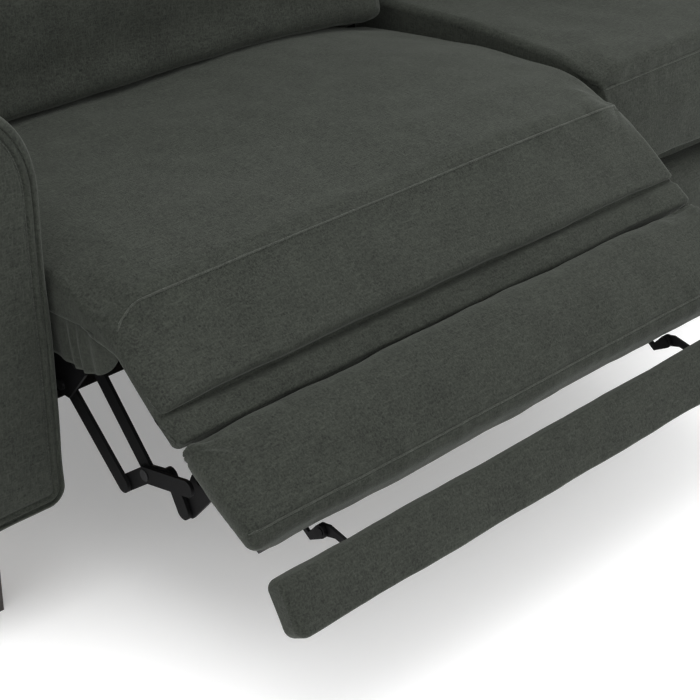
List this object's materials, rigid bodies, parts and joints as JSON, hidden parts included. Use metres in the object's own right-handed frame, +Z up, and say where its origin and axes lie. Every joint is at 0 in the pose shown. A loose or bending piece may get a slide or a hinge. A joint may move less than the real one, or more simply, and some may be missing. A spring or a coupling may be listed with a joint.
{
  "type": "reclining sofa",
  "caption": "High-leg reclining sofa with rounded arms, padded seats and backs, lazy-tong chaise footrests with flip boards, and a leaning back on each seat.",
  "frame": {"origin": "on the floor, under the middle of the whole sofa with the left footrest open and the right one closed", "axes": "+X from the left arm to the right arm, +Z up, and the front faces -Y"},
  "size_m": [2.088, 1.1502, 0.9407],
  "materials": {
    "upholstery": "soft woven chenille, matt with a light nap",
    "webbing": "woven elastic webbing",
    "plywood": "raw plywood",
    "frame_timber": "planed softwood",
    "leg_timber": "dark stained, satin lacquer",
    "black_steel": "black powder coat",
    "rivet_steel": "blackened steel rivet",
    "actuator_housing": "black moulded housing on a steel channel",
    "nut_plastic": "moulded nylon"
  },
  "bodies": {
    "base": {"left_arm_cover": "upholstery", "left_arm_frame": "plywood", "right_arm_cover": "upholstery", "right_arm_frame": "plywood", "legs": "leg_timber", "base_rails": "frame_timber", "slide_rails": "black_steel", "rear_panel": "upholstery"},
    "left_seat": {"left_seat_side_rails": "frame_timber", "left_seat_cross_rails": "frame_timber", "left_seat_webbing": "webbing", "left_seat_cushion": "upholstery", "left_mechanism_plates": "black_steel", "left_pivot_pins": "rivet_steel", "left_recline_brackets": "black_steel", "left_actuator": "actuator_housing"},
    "left_footrest": {"left_chaise_pad": "upholstery", "left_footrest_bolster": "upholstery", "left_footrest_board": "plywood", "left_footrest_brackets": "black_steel", "left_flip_hinges": "black_steel"},
    "left_flip": {"left_flip_board": "upholstery", "left_flip_arms": "black_steel"},
    "left_front_link": {"left_front_links": "black_steel"},
    "left_rear_link": {"left_rear_links": "black_steel", "left_link_rivets": "rivet_steel"},
    "left_cross_link": {"left_cross_links": "black_steel"},
    "left_short_link": {"left_short_links": "black_steel"},
    "left_back": {"left_back_posts": "frame_timber", "left_back_ties": "frame_timber", "left_back_webbing": "webbing", "left_back_shell": "upholstery", "left_back_cushion": "upholstery"},
    "left_nut": {"left_actuator_nut": "nut_plastic"},
    "right_seat": {"right_seat_side_rails": "frame_timber", "right_seat_cross_rails": "frame_timber", "right_seat_webbing": "webbing", "right_seat_cushion": "upholstery", "right_mechanism_plates": "black_steel", "right_pivot_pins": "rivet_steel", "right_recline_brackets": "black_steel", "right_actuator": "actuator_housing"},
    "right_footrest": {"right_chaise_pad": "upholstery", "right_footrest_bolster": "upholstery", "right_footrest_board": "plywood", "right_footrest_brackets": "black_steel", "right_flip_hinges": "black_steel"},
    "right_flip": {"right_flip_board": "upholstery", "right_flip_arms": "black_steel"},
    "right_front_link": {"right_front_links": "black_steel"},
    "right_rear_link": {"right_rear_links": "black_steel", "right_link_rivets": "rivet_steel"},
    "right_cross_link": {"right_cross_links": "black_steel"},
    "right_short_link": {"right_short_links": "black_steel"},
    "right_back": {"right_back_posts": "frame_timber", "right_back_ties": "frame_timber", "right_back_webbing": "webbing", "right_back_shell": "upholstery", "right_back_cushion": "upholstery"},
    "right_nut": {"right_actuator_nut": "nut_plastic"}
  },
  "joints": [
    {"name": "left_seat_slide", "type": "slide", "parent": "base", "child": "left_seat", "axis": [0, 1, 0], "range_m": [0, 0.034]},
    {"name": "left_footrest", "type": "hinge", "parent": "left_seat", "child": "left_footrest", "pos_m": [-0.43, -0.263, 0.43], "axis": [1, 0, 0], "range_deg": [0, 55]},
    {"name": "left_flip", "type": "hinge", "parent": "left_footrest", "child": "left_flip", "pos_m": [-0.43, -0.48556, 0.21435], "axis": [1, 0, 0], "range_deg": [0, 150]},
    {"name": "left_front_link", "type": "hinge", "parent": "left_seat", "child": "left_front_link", "pos_m": [-0.43, -0.152, 0.2851], "axis": [1, 0, 0], "range_deg": [0, 94.4]},
    {"name": "left_rear_link", "type": "hinge", "parent": "left_seat", "child": "left_rear_link", "pos_m": [-0.43, -0.1868, 0.3279], "axis": [1, 0, 0], "range_deg": [0, 85.6]},
    {"name": "left_cross_link", "type": "hinge", "parent": "left_rear_link", "child": "left_cross_link", "pos_m": [-0.43, -0.28271, 0.22063], "axis": [1, 0, 0], "range_deg": [-87.1, 0]},
    {"name": "left_short_link", "type": "hinge", "parent": "left_rear_link", "child": "left_short_link", "pos_m": [-0.43, -0.31264, 0.22901], "axis": [1, 0, 0], "range_deg": [-224.8, 0]},
    {"name": "left_nut", "type": "slide", "parent": "left_seat", "child": "left_nut", "axis": [0, 1, 0], "range_m": [0, 0.13]},
    {"name": "left_back_recline", "type": "hinge", "parent": "left_seat", "child": "left_back", "pos_m": [-0.43, 0.377, 0.314], "axis": [-1, 0, 0], "range_deg": [0, 30]},
    {"name": "right_seat_slide", "type": "slide", "parent": "base", "child": "right_seat", "axis": [0, 1, 0], "range_m": [-0.034, 0]},
    {"name": "right_footrest", "type": "hinge", "parent": "right_seat", "child": "right_footrest", "pos_m": [0.43, -0.229, 0.43], "axis": [1, 0, 0], "range_deg": [-55, 0]},
    {"name": "right_flip", "type": "hinge", "parent": "right_footrest", "child": "right_flip", "pos_m": [0.43, -0.18, 0.124], "axis": [1, 0, 0], "range_deg": [-150, 0]},
    {"name": "right_front_link", "type": "hinge", "parent": "right_seat", "child": "right_front_link", "pos_m": [0.43, -0.118, 0.2851], "axis": [1, 0, 0], "range_deg": [-94.4, 0]},
    {"name": "right_rear_link", "type": "hinge", "parent": "right_seat", "child": "right_rear_link", "pos_m": [0.43, -0.1528, 0.3279], "axis": [1, 0, 0], "range_deg": [-85.6, 0]},
    {"name": "right_cross_link", "type": "hinge", "parent": "right_rear_link", "child": "right_cross_link", "pos_m": [0.43, -0.0532, 0.22404], "axis": [1, 0, 0], "range_deg": [0, 87.1]},
    {"name": "right_short_link", "type": "hinge", "parent": "right_rear_link", "child": "right_short_link", "pos_m": [0.43, -0.06385, 0.19484], "axis": [1, 0, 0], "range_deg": [0, 224.8]},
    {"name": "right_nut", "type": "slide", "parent": "right_seat", "child": "right_nut", "axis": [0, 1, 0], "range_m": [-0.13, 0]},
    {"name": "right_back_recline", "type": "hinge", "parent": "right_seat", "child": "right_back", "pos_m": [0.43, 0.411, 0.314], "axis": [-1, 0, 0], "range_deg": [0, 30]}
  ],
  "couplings": [
    {"joint": "left_seat_slide", "follows": "left_footrest", "m_per_rad": 0.035419},
    {"joint": "left_flip", "follows": "left_footrest", "ratio": 2.7273},
    {"joint": "left_front_link", "follows": "left_footrest", "ratio": 1.7164},
    {"joint": "left_rear_link", "follows": "left_footrest", "ratio": 1.5564},
    {"joint": "left_cross_link", "follows": "left_footrest", "ratio": -1.5836},
    {"joint": "left_short_link", "follows": "left_footrest", "ratio": -4.0873},
    {"joint": "left_nut", "follows": "left_footrest", "m_per_rad": 0.13543},
    {"joint": "right_seat_slide", "follows": "right_footrest", "m_per_rad": 0.035419},
    {"joint": "right_flip", "follows": "right_footrest", "ratio": 2.7273},
    {"joint": "right_front_link", "follows": "right_footrest", "ratio": 1.7164},
    {"joint": "right_rear_link", "follows": "right_footrest", "ratio": 1.5564},
    {"joint": "right_cross_link", "follows": "right_footrest", "ratio": -1.5836},
    {"joint": "right_short_link", "follows": "right_footrest", "ratio": -4.0873},
    {"joint": "right_nut", "follows": "right_footrest", "m_per_rad": 0.13543}
  ]
}
